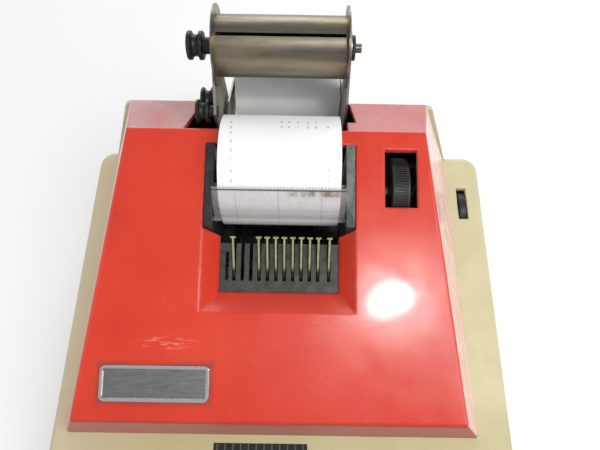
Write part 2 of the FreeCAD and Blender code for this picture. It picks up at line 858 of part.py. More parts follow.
def roll_holder(x0, front, foot):
    """A thin plate that reaches out to the rear and carries the supply roll's axle."""
    profile = [
        (front, foot),
        (front, holder_height - 1.0),
        (0.0, holder_height + 1.0),
        (roll_y, roll_z + holder_eye),
        (roll_y, roll_z - holder_eye),
        (arm_rear, holder_height - holder_depth),
        (-shelf_rear - hood_wall, notch_floor + arm_heel),
        (-shelf_rear - hood_wall, foot),
    ]
    plate = prism_x(profile, x0, x0 + holder_thickness)
    plate = plate.fuse(rod(holder_eye, x0, x0 + holder_thickness, roll_y, roll_z))
    return plate.cut(rod(pin_radius, x0 - 1, x0 + 3, roll_y, roll_z))


def foot_flange(x0, x1, lug_front):
    return box(x0, x1, -lug_front, -shelf_rear - hood_wall, arm_foot, arm_foot + arm_thickness)


def left_arm():
    x0 = arm_left - arm_thickness
    plate = arm(x0, arm_front).fuse(foot_flange(left_cheek_outer, x0, arm_front))
    plate = plate.cut(rod(pin_radius + running_gap, x0 - 1, x0 + 3, drive_pulley_y, drive_pulley_z))
    reach = arm_gap + pulley_standoff + belt_pulley_width
    pin = rod(pin_radius, x0 - reach, x0 + arm_thickness, idler_y, idler_z)
    holder = roll_holder(holder_left - holder_thickness, holder_front, arm_foot)
    web = foot_flange(x0, holder_left, -holder_front)
    return plate.fuse(pin).fuse(holder).fuse(web).removeSplitter()


def right_arm():
    plate = arm(arm_right, arm_front - lug_setback)
    flange = foot_flange(arm_right + arm_thickness, right_cheek_outer, arm_front - lug_setback)
    holder = roll_holder(holder_right, holder_front, notch_floor)
    return plate.fuse(flange).fuse(holder).removeSplitter()


def pulley(radius, width, y, z, x_right):
    """A grooved belt wheel: two flanges and a round-bottomed groove between them."""
    x_left = x_right - width
    middle = (x_left + x_right) / 2
    wheel = rod(radius, x_left, x_right, y, z)
    wheel = wheel.makeFillet(0.6, [e for e in wheel.Edges if e.Length > 6 * radius])
    groove = Part.makeTorus(radius + 0.2, pulley_groove, V(middle, y, z), X_AXIS)
    return wheel.cut(groove)


def spool_pulley():
    boss = rod(pulley_boss, pulley_inner - pulley_boss, pulley_inner, spool_y, spool_z)
    wheel = pulley(spool_pulley_radius, spool_pulley_width, spool_y, spool_z, pulley_inner - pulley_boss)
    reach = 2 * spool_pulley_width + pulley_boss
    bore = rod(spool_shaft_radius, pulley_inner - reach, pulley_inner + 1, spool_y, spool_z)
    return wheel.fuse(boss).cut(bore).removeSplitter()


def drive_pulley():
    """The belt wheel and the thick steel stub that it turns on, in the left arm."""
    x_right = pulley_inner - pulley_standoff
    wheel = pulley(drive_pulley_radius, belt_pulley_width, drive_pulley_y, drive_pulley_z, x_right)
    stub = rod(pin_radius, x_right, arm_left + fit_gap, drive_pulley_y, drive_pulley_z)
    return wheel.fuse(stub).removeSplitter()


def idler_pulley():
    boss = rod(pulley_boss, pulley_inner - pulley_standoff, pulley_inner, idler_y, idler_z)
    wheel = pulley(idler_radius, belt_pulley_width, idler_y, idler_z, pulley_inner - pulley_standoff).fuse(boss)
    bore = rod(pin_radius + running_gap, pulley_inner - 2 * belt_pulley_width, pulley_inner + 1, idler_y, idler_z)
    return wheel.cut(bore).removeSplitter()


def spool_shaft():
    left_end = pulley_inner - pulley_boss - spool_pulley_width + 1.0
    right_end = arm_right + arm_thickness + arm_gap + nut_thickness + shaft_end
    return rod(spool_shaft_radius, left_end, right_end, spool_y, spool_z)


def spool_drum():
    drum = rod(drum_radius, spool_left, spool_right, spool_y, spool_z)
    hollow = rod(drum_bore, spool_left + 2, spool_right - 2, spool_y, spool_z)
    drum = drum.cut(hollow)
    slot = box(spool_left + 1, spool_right - 1, drum_bore - 2, drum_radius + 2,
               -drum_slot_width / 2, drum_slot_width / 2)
    slot.rotate(V(0, 0, 0), X_AXIS, drum_slot_angle)
    slot.translate(V(0, spool_y, spool_z))
    return drum.cut(slot).cut(rod(spool_shaft_radius, spool_left - 1, spool_right + 1, spool_y, spool_z))


def spool_flange(x0):
    disc = rod(flange_radius, x0, x0 + flange_thickness, spool_y, spool_z)
    return disc.cut(rod(spool_shaft_radius, x0 - 1, x0 + 2, spool_y, spool_z))


def shaft_nut():
    x0 = arm_right + arm_thickness + arm_gap
    washer = rod(nut_radius, x0, x0 + nut_thickness, spool_y, spool_z)
    return washer.cut(rod(spool_shaft_radius, x0 - 1, x0 + 3, spool_y, spool_z))


def supply_roll():
    roll = rod(roll_radius, roll_left, roll_right, roll_y, roll_z)
    return roll.cut(rod(roll_bore, roll_left - 1, roll_right + 1, roll_y, roll_z))


def roll_axle():
    spindle = rod(roll_axle_radius, holder_left + fit_gap, holder_right - fit_gap, roll_y, roll_z)
    ends = rod(pin_radius, holder_left - holder_thickness, holder_right + holder_thickness, roll_y, roll_z)
    return spindle.fuse(ends).removeSplitter()


def side_plate(x0):
    top = chassis_drop
    high = hood_wall + 2.0
    base = case_foot + base_thickness
    profile = [
        (-chassis_rear, base),
        (-chassis_rear, face_z(-chassis_rear, high)),
        (opening_gap - print_front + 4.0, face_z(opening_gap - print_front + 4.0, high)),
        (opening_gap - print_front + 4.0, face_z(opening_gap - print_front + 4.0, top)),
        (-chassis_front, face_z(-chassis_front, top)),
        (-chassis_front, base),
    ]
    plate = prism_x(profile, x0, x0 + chassis_thickness)
    for y, z, radius in (
        (platen_y, platen_z, platen_shaft_radius + running_gap),
        (hammer_pivot_y, hammer_pivot_z, hammer_shaft_radius),
        (main_y, main_z, main_radius + running_gap),
        (motor_y, motor_z, motor_shaft_radius + 1.5),
    ):
        plate = plate.cut(rod(radius, x0 - 1, x0 + chassis_thickness + 1, y, z))
    return plate


def chassis():
    """A steel frame: two side plates on a floor, with a shelf at the rear for the arms."""
    base = case_foot + base_thickness
    floor = box(plate_left, plate_right, -chassis_front, -chassis_rear, base, base + chassis_thickness)
    frame = floor.fuse(side_plate(plate_left)).fuse(side_plate(right_cheek_outer))
    shelf = box(plate_left, plate_right, -chassis_rear - 3.0, -shelf_rear, arm_foot - chassis_thickness, arm_foot)
    return frame.fuse(shelf).removeSplitter()


def gear(teeth, x0, x1, phase):
    """A spur gear along X with straight-sided teeth, about the origin."""
    pitch = gear_module * teeth / 2
    tip = pitch + 0.75 * gear_module
    root = pitch - 1.0 * gear_module
    points = []
    for i in range(teeth):
        middle = math.radians(phase) + 2 * math.pi * i / teeth
        for radius, share in ((root, -0.30), (tip, -0.13), (tip, 0.13), (root, 0.30)):
            angle = middle + share * 2 * math.pi / teeth
            points.append((radius * math.cos(angle), radius * math.sin(angle)))
    return prism_x(points, x0, x1)


def drive_gear():
    wheel = gear(gear_teeth, gear_left, gear_left + gear_width, mesh_angle)
    wheel = wheel.cut(rod(main_radius, gear_left - 1, gear_left + gear_width + 1, 0, 0))
    wheel.translate(V(0, main_y, main_z))
    return wheel


def main_shaft():
    shaft = rod(main_radius, plate_left - shaft_overhang, plate_right + shaft_overhang, main_y, main_z)
    for k in range(cam_count):
        x0 = gear_left + gear_width + cam_width + cam_pitch * k
        turn = 2 * math.pi * k / cam_count
        y, z = main_y + cam_offset * math.cos(turn), main_z + cam_offset * math.sin(turn)
        shaft = shaft.fuse(rod(cam_radius, x0, x0 + cam_width, y, z))
    return shaft.removeSplitter()


def motor():
    x1 = plate_left
    x0 = x1 - motor_length
    body = rod(motor_radius, x0 + motor_cap_length, x1 - motor_cap_length, motor_y, motor_z)
    caps = rod(motor_radius - motor_cap_step, x0, x1, motor_y, motor_z)
    bore = rod(motor_shaft_radius + running_gap, x0 + motor_shaft_inset - 2, x1 + 1, motor_y, motor_z)
    return body.fuse(caps).cut(bore).removeSplitter()


def motor_shaft():
    pinion = gear(pinion_teeth, gear_left, gear_left + gear_width, mesh_angle + 180.0 + 180.0 / pinion_teeth)
    pinion.translate(V(0, motor_y, motor_z))
    left_end = plate_left - motor_length + motor_shaft_inset
    shaft = rod(motor_shaft_radius, left_end, gear_left + gear_width + shaft_overhang, motor_y, motor_z)
    return pinion.fuse(shaft).removeSplitter()


def key_cap(width, depth):
    """A tapered key top on a flat stem, made flat about the origin on the plate's level."""
    taper = (key_side - key_top_side) / 2
    def ring(shrink, z):
        x, y = width / 2 - shrink, depth / 2 - shrink
        points = [V(-x, -y, z), V(x, -y, z), V(x, y, z), V(-x, y, z)]
        return Part.makePolygon(points + points[:1])
    foot = key_stand - case_wall
    cap = Part.makeLoft([ring(0.0, foot), ring(taper, foot + key_height)], True, True)
    cap = cap.makeFillet(1.2, cap.Edges)
    half_w, half_t = key_stem_wide / 2, key_stem_thick / 2
    stem = box(-half_w, half_w, -half_t, half_t, foot - key_stem_length, foot + 1.0)
    return cap.fuse(stem).removeSplitter()


def key_layout():
    """Name, column, row, width and depth of each key, with rows counted from the rear."""
    keys = []
    for digit in range(1, 10):
        column = (digit - 1) % 3
        row = 2 - (digit - 1) // 3
        keys.append(("key_%d" % digit, first_key_x + column * key_pitch, row, key_side, key_side))
    wide = key_side + key_pitch
    keys.append(("key_0", first_key_x + key_pitch / 2, 3, wide, key_side))
    x = function_x()
    keys.append(("clear_key", x, 0, key_side, key_side))
    keys.append(("total_key", x, 1, key_side, key_side))
    keys.append(("add_bar", x, 2.5, key_side, wide))
    return keys


def keyboard_plate():
    plate = keyboard_window(board_lip, board_thickness, -case_wall)
    for name, x, row, width, depth in key_layout():
        half_w = key_stem_wide / 2 + key_slot_gap
        half_t = key_stem_thick / 2 + key_slot_gap
        y = -row * key_pitch
        slot = box(x - half_w, x + half_w, y - half_t, y + half_t, -case_wall - 5, 0)
        plate = plate.cut(on_deck(slot, 0.0, -first_row))
    return plate


def key(x, row, width, depth):
    shape = key_cap(width, depth)
    shape.translate(V(x, -row * key_pitch, 0))
    return on_deck(shape, 0.0, -first_row)


def indicator_window():
    pane = indicator_block(-fit_gap, case_wall, 0.0)
    lip = indicator_block(indicator_lip, 1.5, -case_wall)
    return pane.fuse(lip).removeSplitter()


def main():
    os.makedirs("parts", exist_ok=True)
    save("lower_case", lower_case())
    save("base_plate", base_plate())
    save("case_screws", case_screws())
    save("feet", feet())
    save("top_cover", top_cover())
    save("rear_cover", rear_cover())
    save("power_inlet", power_inlet())
    save("badge_plate", badge_plate())
    save("left_cheek", cheek(left_cheek_outer, left_cheek_inner))
    save("right_cheek", cheek(right_cheek_outer, right_cheek_inner))
    save("comb_plate", comb_plate())
    save("hammer_shaft", hammer_shaft())
    for number, x in enumerate(column_places(), 1):
        save("hammer_%d" % number, print_hammer(x))
    save("paper_tape", paper_tape())
    save("paper_window", paper_window())
    save("platen_roller", platen_roller())
    save("platen_shaft", platen_shaft())
    save("platen_wheel", ribbed_wheel())
    save("left_arm", left_arm())
    save("right_arm", right_arm())
    save("spool_shaft", spool_shaft())
    save("spool_drum", spool_drum())
    save("left_flange", spool_flange(spool_left - flange_thickness))
    save("right_flange", spool_flange(spool_right))
    save("spool_pulley", spool_pulley())
    save("shaft_nut", shaft_nut())
    save("drive_pulley", drive_pulley())
    save("idler_pulley", idler_pulley())
    save("supply_roll", supply_roll())
    save("roll_axle", roll_axle())
    save("side_wheel", side_wheel())
    save("chassis", chassis())
    save("motor", motor())
    save("motor_shaft", motor_shaft())
    save("drive_gear", drive_gear())
    save("main_shaft", main_shaft())
    save("keyboard_plate", keyboard_plate())
    save("indicator_window", indicator_window())
    for name, x, row, width, depth in key_layout():
        save(name, key(x, row, width, depth))


main()
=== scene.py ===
import json
import math

import bpy
from mathutils import Matrix, Vector


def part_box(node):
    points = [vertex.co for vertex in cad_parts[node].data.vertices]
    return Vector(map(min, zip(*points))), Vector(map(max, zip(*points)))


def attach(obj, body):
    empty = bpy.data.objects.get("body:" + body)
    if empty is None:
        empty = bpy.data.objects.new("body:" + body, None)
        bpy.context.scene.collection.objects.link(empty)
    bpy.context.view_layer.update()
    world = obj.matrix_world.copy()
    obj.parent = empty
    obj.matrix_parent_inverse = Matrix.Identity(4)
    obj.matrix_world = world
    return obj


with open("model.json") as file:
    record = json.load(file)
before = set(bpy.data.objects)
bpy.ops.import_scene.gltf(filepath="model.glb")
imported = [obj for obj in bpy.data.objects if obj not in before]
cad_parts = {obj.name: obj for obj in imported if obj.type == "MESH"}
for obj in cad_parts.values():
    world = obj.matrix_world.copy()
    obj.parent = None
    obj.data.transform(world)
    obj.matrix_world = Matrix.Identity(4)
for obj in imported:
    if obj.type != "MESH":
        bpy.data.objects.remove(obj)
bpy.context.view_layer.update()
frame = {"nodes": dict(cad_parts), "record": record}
nodes = frame["nodes"]

MM = 0.001
IMAGE_WIDTH = 600
RIGHT = Vector((1.0, 0.0, 0.0))

# The model's datum, the foot of the hood's rear wall at deck level, in the part's frame
FOLD_HEIGHT = 68.0
hood_low, hood_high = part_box("top_cover")
DATUM = Vector(((hood_low[0] + hood_high[0]) / 2, hood_high[1], FOLD_HEIGHT * MM))

# Camera, in millimetres from the datum, degrees, and pixels of a picture IMAGE_WIDTH wide
CAMERA_PLACE = (11.9, -187.3, 264.1)
CAMERA_PITCH = 62.2
CAMERA_YAW = 0.3
CAMERA_ROLL = 1.2
FOCAL_PIXELS = 504.5
SENSOR_WIDTH = 36.0
CLIP_START = 0.01

# Printer and supply roll, in millimetres from the datum
CURL_Y = -40.3
CURL_Z = 46.5
CURL_RADIUS = 27.3
ROLL_Y = 28.7
ROLL_Z = 35.1

# Height above which the hammers have stayed bright, in millimetres from the datum
HAMMER_BRIGHT_Z = 35.0

# The window's tear line, its scored lines and the middle of its brown stain, in degrees round
# the curl and millimetres across it
TEAR_LINE = 143.5
SCORED_ROUND = (167.0, 174.0)
SCORED_ACROSS = (-18.2, 2.1, 22.6)
BROWN_STAIN = (146.5, 19.5)

# Half sizes of the badge and of its dark field, across it and along the slope, in millimetres
BADGE_HALF = (25.0, 8.0)
BADGE_FIELD_HALF = (23.5, 6.5)

# Where the finish of the hood and of the case changes, with its painted shade, reflection and
# glare, in millimetres from the datum
REAR_SLOPE_Y = (-42.0, -34.0)
REAR_OPENING_Y = (-4.0, -3.0)
SIDE_DUST_AND_GLARE_Y = (-115.0, -30.0)
FRONT_BEVEL_Y = (-150.0, -140.0)
DARKER_FRONT_Y = (-162.0, -140.0)
PINKISH_X = (-100.0, -60.0)
LEFT_END_X = (-78.0, -62.0)
REAR_DUST_AND_REFLECTION_X = (-40.0, 40.0)
RIGHT_HALF_X = (0.0, 60.0)
SIDE_SLOPES_X = (66.0, 72.0)

# The two scuffs on the hood, as middle and half sizes in millimetres from the datum
LEFT_SCUFF = ((-50.0, -127.5, 31.0), (11.0, 3.0, 6.0))
MIDDLE_SCUFF = ((37.0, -119.0, 34.0), (14.0, 2.6, 8.0))

# The length of the right cheek that is paler grey, in millimetres from its rear end
CHEEK_PALE_SPAN = (-38.0, -26.0)

# Rings on the paper roll, in radians for each millimetre of its radius
FINE_RINGS = 14.0
WIDE_RINGS = 2.3

# Ticks of the indicator, in millimetres
HALF_TICK_PITCH = 2.0

# Slopes of the hood's top and of the deck that carries the keys
HOOD_SLOPE = math.radians(19.54)
DECK_SLOPE = math.radians(6.0)

# Printed marks on the tape, as millimetres across it and degrees round its curl
COLUMN_MARKS = (
    (-21.5, 69.9),
    (-21.05, 78.7),
    (-20.7, 86.4),
    (-20.4, 96.0),
    (-20.1, 105.7),
    (-20.0, 115.6),
    (-19.9, 126.3),
    (-20.0, 136.1),
)
ROW_PLACES = (3.0, 6.6, 10.7, 15.6, 19.4)
ROW_MARKS = tuple((x, 68.3) for x in ROW_PLACES) + tuple((x, 77.0) for x in ROW_PLACES + (25.1,))
FAINT_MARKS = ((25.5, 123.8), (25.6, 134.5))

# Figures that the marks on the tape take in turn
FIGURE_ORDER = "4072615398"

# Lettering, in millimetres: how high it is, how far outside its surface it lies and how thick
MARK_SIZE = 2.4
FAINT_MARK_SIZE = 1.5
MARK_LIFT = 0.16
LEGEND_SIZE = 7.0
LEGEND_LIFT = 0.02
INK_THICKNESS = 0.01
INK_CURVE_STEPS = 3

# A key's top is all of it that lies less than this below its highest point, in millimetres
KEY_TOP_DEPTH = 0.05

BEVEL_SAMPLES = 6

# Floor and light, in metres of the part's frame
FLOOR_SIZE = 12.0
LAMPS_AIM = Vector((0.0, 0.02, 0.08))
MAIN_PLACE = LAMPS_AIM + Vector((0.60, -0.30, 0.745)) * 1.3
LEFT_PLACE = Vector((-1.2, -0.2, 1.1))
REAR_PLACE = Vector((0.1, 1.7, 0.75))
FILL_PLACE = LAMPS_AIM + Vector((0.05, -0.45, 0.89)) * 1.2
GLINT_DIRECTION = Vector((0.179, -0.329, 0.927))
GLINT_DISTANCE = 0.8
SKY_COLOUR = (0.97, 0.98, 1.0, 1.0)
SKY_STRENGTH = 0.48

# The glint's middle on the hood, in millimetres from the datum
GLINT_SPOT = (54.4, -106.3, 38.5)


def spot(x, y, z):
    """A point given in millimetres from the datum."""
    return DATUM + Vector((x, y, z)) * MM


class Paint:
    """A procedural material, with coordinates in millimetres of the part's frame."""

    def __init__(self, name, **settings):
        self.material = bpy.data.materials.new(name)
        self.material.use_nodes = True
        self.tree = self.material.node_tree
        self.shader = self.tree.nodes["Principled BSDF"]
        for socket, value in settings.items():
            self.shader.inputs[socket.replace("_", " ")].default_value = value
        place = self.node("ShaderNodeTexCoord")
        scale = self.node("ShaderNodeVectorMath", operation="SCALE")
        scale.inputs["Scale"].default_value = 1 / MM
        self.link(place.outputs["Object"], scale.inputs[0])
        self.place = scale.outputs[0]

    def node(self, kind, **settings):
        made = self.tree.nodes.new(kind)
        for name, value in settings.items():
            setattr(made, name, value)
        return made

    def link(self, output, socket):
        self.tree.links.new(output, socket)

    def feed(self, socket, value):
        """Gives a socket either another node's output or a plain value."""
        if isinstance(value, bpy.types.NodeSocket):
            self.link(value, socket)
        else:
            socket.default_value = value

    def colour(self, value):
        self.feed(self.shader.inputs["Base Color"], value)

    def roughness(self, value):
        self.feed(self.shader.inputs["Roughness"], value)

    def noise(self, size, detail=3.0, stretch=(1.0, 1.0, 1.0), roughness=0.55):
        """Cloudy noise with lumps of about size millimetres, divided on each axis by stretch."""
        mapping = self.node("ShaderNodeMapping")
        mapping.inputs["Scale"].default_value = stretch
        self.link(self.place, mapping.inputs[0])
        made = self.node("ShaderNodeTexNoise")
        made.inputs["Scale"].default_value = 1.0 / size
        made.inputs["Detail"].default_value = detail
        made.inputs["Roughness"].default_value = roughness
        self.link(mapping.outputs[0], made.inputs["Vector"])
        return made.outputs[0]

    def cells(self, size):
        """Distance to the nearest of many scattered points, as a share of size millimetres."""
        made = self.node("ShaderNodeTexVoronoi")
        made.inputs["Scale"].default_value = 1.0 / size
        self.link(self.place, made.inputs["Vector"])
        return made.outputs[0]

    def axis(self, which):
        """The place along an axis of the part's frame, in millimetres."""
        parts = self.node("ShaderNodeSeparateXYZ")
        self.link(self.place, parts.inputs[0])
        return parts.outputs[which]

    def facing(self, which):
        """How far the surface faces along an axis of the part's frame."""
        turned = self.node("ShaderNodeTexCoord")
        parts = self.node("ShaderNodeSeparateXYZ")
        self.link(turned.outputs["Normal"], parts.inputs[0])
        return parts.outputs[which]

    def math(self, operation, a, b=0.0, c=0.0):
        made = self.node("ShaderNodeMath", operation=operation)
        for socket, value in zip(made.inputs, (a, b, c)):
            self.feed(socket, value)
        return made.outputs[0]

    def past(self, which, origin):
        """The place along an axis, measured from an origin in millimetres."""
        return self.math("SUBTRACT", self.axis(which), origin)

    def times(self, *values):
        """The product of several values."""
        made = values[0]
        for value in values[1:]:
            made = self.math("MULTIPLY", made, value)
        return made

    def steps(self, value, low, high, from_value=0.0, to_value=1.0):
        """Maps low..high of a value to from_value..to_value, held flat beyond."""
        made = self.node("ShaderNodeMapRange", clamp=True)
        self.feed(made.inputs["Value"], value)
        made.inputs["From Min"].default_value = low
        made.inputs["From Max"].default_value = high
        made.inputs["To Min"].default_value = from_value
        made.inputs["To Max"].default_value = to_value
        return made.outputs["Result"]

    def band(self, value, middle, half, soft):
        """1 where a value is within half of middle, falling to 0 over soft."""
        away = self.math("ABSOLUTE", self.math("SUBTRACT", value, middle))
        return self.steps(away, half, half + soft, 1.0, 0.0)

    def zone(self, which, ends, from_value=0.0, to_value=1.0):
        """Passes from one value to the other between two places on an axis, from the datum."""
        origin = (DATUM / MM)["XYZ".index(which)]
        low, high = ends
        return self.steps(self.axis(which), origin + low, origin + high, from_value, to_value)

    def patch(self, centre, half_sizes, softness=0.6):
        """1 inside an oval patch about a point from the datum, falling to 0 outside it."""
        away = self.node("ShaderNodeVectorMath", operation="SUBTRACT")
        self.link(self.place, away.inputs[0])
        away.inputs[1].default_value = spot(*centre) / MM
        scaled = self.node("ShaderNodeVectorMath", operation="DIVIDE")
        self.link(away.outputs[0], scaled.inputs[0])
        scaled.inputs[1].default_value = half_sizes
        length = self.node("ShaderNodeVectorMath", operation="LENGTH")
        self.link(scaled.outputs[0], length.inputs[0])
        return self.steps(length.outputs["Value"], 1.0 - softness, 1.0 + softness, 1.0, 0.0)

    def mix(self, amount, a, b):
        """Colour a where the amount is 0, passing to b where it is 1."""
        made = self.node("ShaderNodeMix", data_type="RGBA")
        self.feed(made.inputs["Factor"], amount)
        for socket, shade in (("A", a), ("B", b)):
            self.feed(made.inputs[socket], (*shade, 1.0) if isinstance(shade, tuple) else shade)
        return made.outputs["Result"]

    def blend(self, value, low, high, a, b):
        """Colour a where a value is low or less, passing to b where it is high or more."""
        return self.mix(self.steps(value, low, high), a, b)

    def bump(self, height, depth, edge=0.0):
        """Relief of depth millimetres, with sharp edges shown rounded to edge millimetres."""
        made = self.node("ShaderNodeBump")
        made.inputs["Distance"].default_value = depth * MM
        self.link(height, made.inputs["Height"])
        if edge:
            rounded = self.node("ShaderNodeBevel", samples=BEVEL_SAMPLES)
            rounded.inputs["Radius"].default_value = edge * MM
            self.link(rounded.outputs[0], made.inputs["Normal"])
        self.link(made.outputs[0], self.shader.inputs["Normal"])


def beyond_badge(paint, half_across, half_along):
    """Distance outside a rectangle about the badge's middle, on the hood's slope."""
    low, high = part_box("badge_plate")
    middle = (Vector(low) + Vector(high)) / (2 * MM)
    across = paint.past("X", middle.x)
    rise = paint.math("MULTIPLY", paint.past("Z", middle.z), math.sin(HOOD_SLOPE))
    along = paint.math("MULTIPLY_ADD", paint.past("Y", middle.y), math.cos(HOOD_SLOPE), rise)
    return paint.math(
        "MAXIMUM",
        paint.math("SUBTRACT", paint.math("ABSOLUTE", across), half_across),
        paint.math("SUBTRACT", paint.math("ABSOLUTE", along), half_along),
    )


def moulded_hood():
    """Glossy orange-red plastic: dust and painted reflections on its slopes, painted shade at the
    front and inside, grime by the badge, scuffs.
    """
    paint = Paint(
        "hood_red",
        IOR=1.49,
        Coat_Weight=0.16,
        Coat_Roughness=0.06,
        Sheen_Weight=0.1,
        Sheen_Roughness=0.5,
    )
    across = paint.past("X", (DATUM / MM).x)
    red, orange_red = (0.56, 0.026, 0.009), (0.66, 0.044, 0.016)
    base = paint.blend(paint.noise(60.0, detail=4.0), 0.35, 0.7, red, orange_red)
    film = paint.noise(18.0, detail=6.0, roughness=0.65)

    # Dust and painted reflection on the slope that faces the rear, greyer towards its left end
    rear = paint.times(
        paint.zone("Y", REAR_SLOPE_Y),
        paint.steps(paint.facing("Y"), 0.12, 0.3),
        paint.steps(film, 0.25, 0.6, 0.55, 0.85),
    )
    left_end, left_dust_and_reflection, right_dust_and_reflection = (0.46, 0.33, 0.35), (0.39, 0.22, 0.225), (0.50, 0.185, 0.175)
    lighter_tone = paint.blend(across, *LEFT_END_X, left_end, left_dust_and_reflection)
    lighter_tone = paint.blend(across, *REAR_DUST_AND_REFLECTION_X, lighter_tone, right_dust_and_reflection)
    base = paint.mix(rear, base, lighter_tone)

    # Paler dust and painted glare on the two side slopes, strongest on the right one, thinner on
    # the lower end of the left one
    upper = paint.zone("Y", SIDE_DUST_AND_GLARE_Y, 0.05, 1.1)
    right_half = paint.steps(across, *RIGHT_HALF_X, 0.0, 1.25)
    sides = paint.times(
        paint.steps(paint.math("ABSOLUTE", paint.facing("X")), 0.55, 0.8),
        paint.steps(paint.math("ABSOLUTE", across), *SIDE_SLOPES_X),
        paint.steps(film, 0.3, 0.7, 0.3, 0.6),
        paint.math("MAXIMUM", upper, right_half),
    )
    side_dust_and_glare = (0.94, 0.76, 0.72)
    base = paint.mix(sides, base, side_dust_and_glare)

    # A dull front bevel whose colour is darkened as painted shade, and painted shade on the inside
    # behind the rear opening
    front = paint.times(
        paint.steps(paint.facing("Y"), -0.7, -0.5, 1.0, 0.0),
        paint.zone("Y", FRONT_BEVEL_Y, 1.0, 0.0),
    )
    inside = paint.times(
        paint.zone("Y", REAR_OPENING_Y),
        paint.steps(paint.facing("Y"), -0.95, -0.8, 1.0, 0.0),
    )
    painted_front_shade, painted_inside_shade = (0.20, 0.03, 0.012), (0.02, 0.006, 0.005)
    base = paint.mix(paint.times(front, 0.6), base, painted_front_shade)
    base = paint.mix(inside, base, painted_inside_shade)

    # Grime in a rim round the badge, and specks of dust all over
    rim = paint.steps(beyond_badge(paint, *BADGE_HALF), 0.0, 3.0, 1.0, 0.0)
    halo = paint.times(rim, paint.steps(film, 0.3, 0.6, 0.25, 0.75))
    specks = paint.steps(paint.cells(3.2), 0.0, 0.045, 1.0, 0.0)
    grime, speck = (0.12, 0.045, 0.028), (0.9, 0.75, 0.68)
    base = paint.mix(halo, base, grime)
    base = paint.mix(paint.times(specks, 0.3), base, speck)

    # Two scuffs along the front edge
    scratches = paint.noise(2.2, detail=6.0, stretch=(0.35, 1.6, 1.0), roughness=0.7)
    faint_scuff = paint.times(paint.patch(*MIDDLE_SCUFF), 0.6)
    worn = paint.math("ADD", paint.patch(*LEFT_SCUFF), faint_scuff)
    worn = paint.times(worn, paint.steps(scratches, 0.52, 0.64))
    scuffed = (0.86, 0.42, 0.36)
    paint.colour(paint.mix(paint.times(worn, 0.5), base, scuffed))

    gloss = paint.steps(film, 0.35, 0.7, 0.2, 0.3)
    dull = paint.math("ADD", paint.times(worn, 0.35), paint.times(front, 0.5))
    paint.roughness(paint.math("ADD", gloss, dull))
    fine = paint.times(paint.noise(1.2, detail=2.0), 0.02)
    paint.bump(paint.math("ADD", paint.noise(35.0, detail=2.0), fine), depth=0.35, edge=1.6)
    return paint.material


def moulded_case():
    """Greenish beige plastic with a fine pebbled grain and a little grime."""
    paint = Paint("case_beige", IOR=1.46, Sheen_Weight=0.2, Sheen_Roughness=0.5)
    grime = paint.noise(28.0, detail=6.0, roughness=0.65)
    clean, grimy = (0.58, 0.54, 0.335), (0.51, 0.46, 0.26)
    darker_front, pinkish, freckle = (0.42, 0.37, 0.18), (0.56, 0.46, 0.34), (0.35, 0.28, 0.17)
    base = paint.blend(grime, 0.35, 0.75, clean, grimy)
    # Darker towards the front edge of the case
    base = paint.mix(paint.zone("Y", DARKER_FRONT_Y, 0.7, 0.0), base, darker_front)
    base = paint.mix(paint.zone("X", PINKISH_X, 0.5, 0.0), base, pinkish)
    freckles = paint.steps(paint.cells(2.4), 0.0, 0.055, 1.0, 0.0)
    paint.colour(paint.mix(paint.times(freckles, 0.2), base, freckle))
    paint.roughness(paint.steps(grime, 0.3, 0.7, 0.36, 0.5))
    grain = paint.math("ADD", paint.cells(0.55), paint.noise(0.5, detail=2.0))
    paint.bump(grain, depth=0.045, edge=1.2)
    return paint.material


def dark_plastic(name, shade, gloss):
    """Nearly black plastic or enamel with a haze of wear and some lint."""
    paint = Paint(name, IOR=1.48)
    lint = paint.steps(paint.cells(2.6), 0.0, 0.07, 1.0, 0.0)
    haze = paint.noise(9.0, detail=5.0)
    tone = tuple(shade * k for k in (1.0, 1.0, 0.96))
    hazy, fluff = tuple(1.9 * k for k in tone), (0.3, 0.29, 0.27)
    base = paint.blend(haze, 0.4, 0.75, tone, hazy)
    paint.colour(paint.mix(paint.times(lint, 0.3), base, fluff))
    paint.roughness(paint.steps(haze, 0.3, 0.75, gloss, gloss + 0.18))
    paint.bump(paint.noise(0.8), depth=0.02, edge=0.3)
    return paint.material


def cheek_plastic():
    """Black plastic, paler grey along the upper side of the cheek."""
    paint = Paint("cheek_plastic", IOR=1.48)
    haze = paint.noise(6.0, detail=5.0, stretch=(1.0, 0.6, 0.6), roughness=0.7)
    _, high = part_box("right_cheek")
    rear = high[1] / MM
    upper = paint.steps(paint.axis("Y"), *(rear + place for place in CHEEK_PALE_SPAN))
    # Paler grey along the upper rear of the cheek
    rubbed = paint.times(upper, paint.steps(haze, 0.35, 0.6, 0.45, 1.0))
    black, hazy, dusty = (0.02, 0.02, 0.019), (0.04, 0.04, 0.037), (0.19, 0.20, 0.18)
    base = paint.blend(haze, 0.4, 0.75, black, hazy)
    paint.colour(paint.mix(rubbed, base, dusty))
    paint.roughness(paint.steps(haze, 0.3, 0.75, 0.18, 0.4))
    paint.bump(paint.noise(0.8), depth=0.02, edge=0.3)
    return paint.material


def aged_steel():
    """Plated steel that has yellowed, rubbed round by paper, with darker bands of tarnish."""
    paint = Paint("aged_steel", Metallic=1.0)
    bands = paint.noise(7.0, detail=5.0, stretch=(0.12, 1.0, 1.0))
    streaks = paint.noise(1.1, detail=4.0, stretch=(0.05, 1.0, 1.0))
    stain = paint.noise(16.0, detail=6.0, stretch=(0.35, 1.0, 1.0), roughness=0.7)
    grey, yellowed, brown = (0.165, 0.152, 0.135), (0.31, 0.265, 0.185), (0.19, 0.14, 0.09)
    base = paint.blend(bands, 0.38, 0.66, grey, yellowed)
    paint.colour(paint.blend(stain, 0.55, 0.75, base, brown))
    paint.roughness(paint.steps(streaks, 0.3, 0.7, 0.3, 0.46))
    paint.bump(streaks, depth=0.03)
    return paint.material


